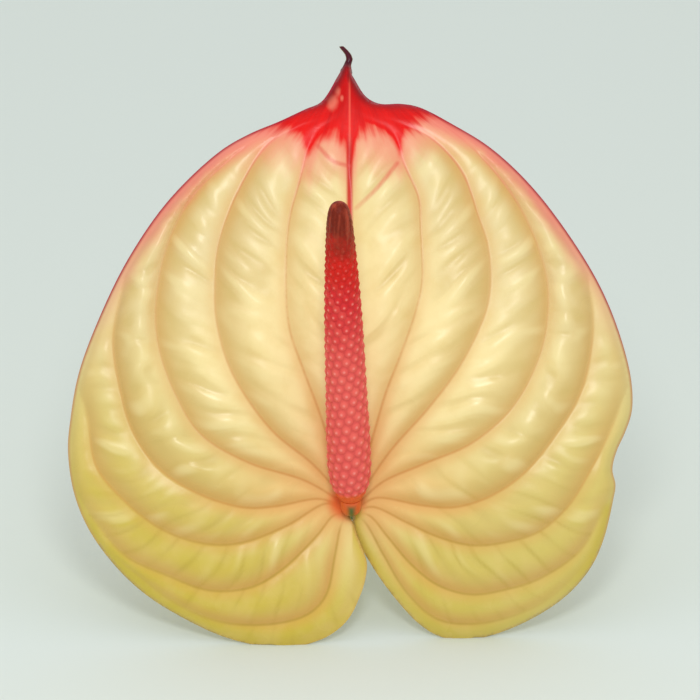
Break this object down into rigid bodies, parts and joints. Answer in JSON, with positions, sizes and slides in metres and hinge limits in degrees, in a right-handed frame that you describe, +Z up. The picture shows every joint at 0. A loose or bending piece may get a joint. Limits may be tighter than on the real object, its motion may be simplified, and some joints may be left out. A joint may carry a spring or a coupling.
{
  "type": "cut anthurium stem",
  "caption": "Cut anthurium lying down: puckered heart-shaped cream spathe with a red tip, a coral spadix with a brown tip, and a bare green stalk.",
  "frame": {"origin": "centre of the bounding box's bottom, on the surface that the flower lies on", "axes": "+Z up, the spathe faces -Y and 25 degrees up, and the stalk lies along +Y"},
  "size_m": [0.125, 0.2979, 0.122],
  "materials": {
    "peduncle": "satin",
    "spathe": "gloss",
    "spadix": "satin"
  },
  "bodies": {
    "root": {"peduncle": "peduncle", "spathe": "spathe", "spadix": "spadix"}
  },
  "joints": []
}
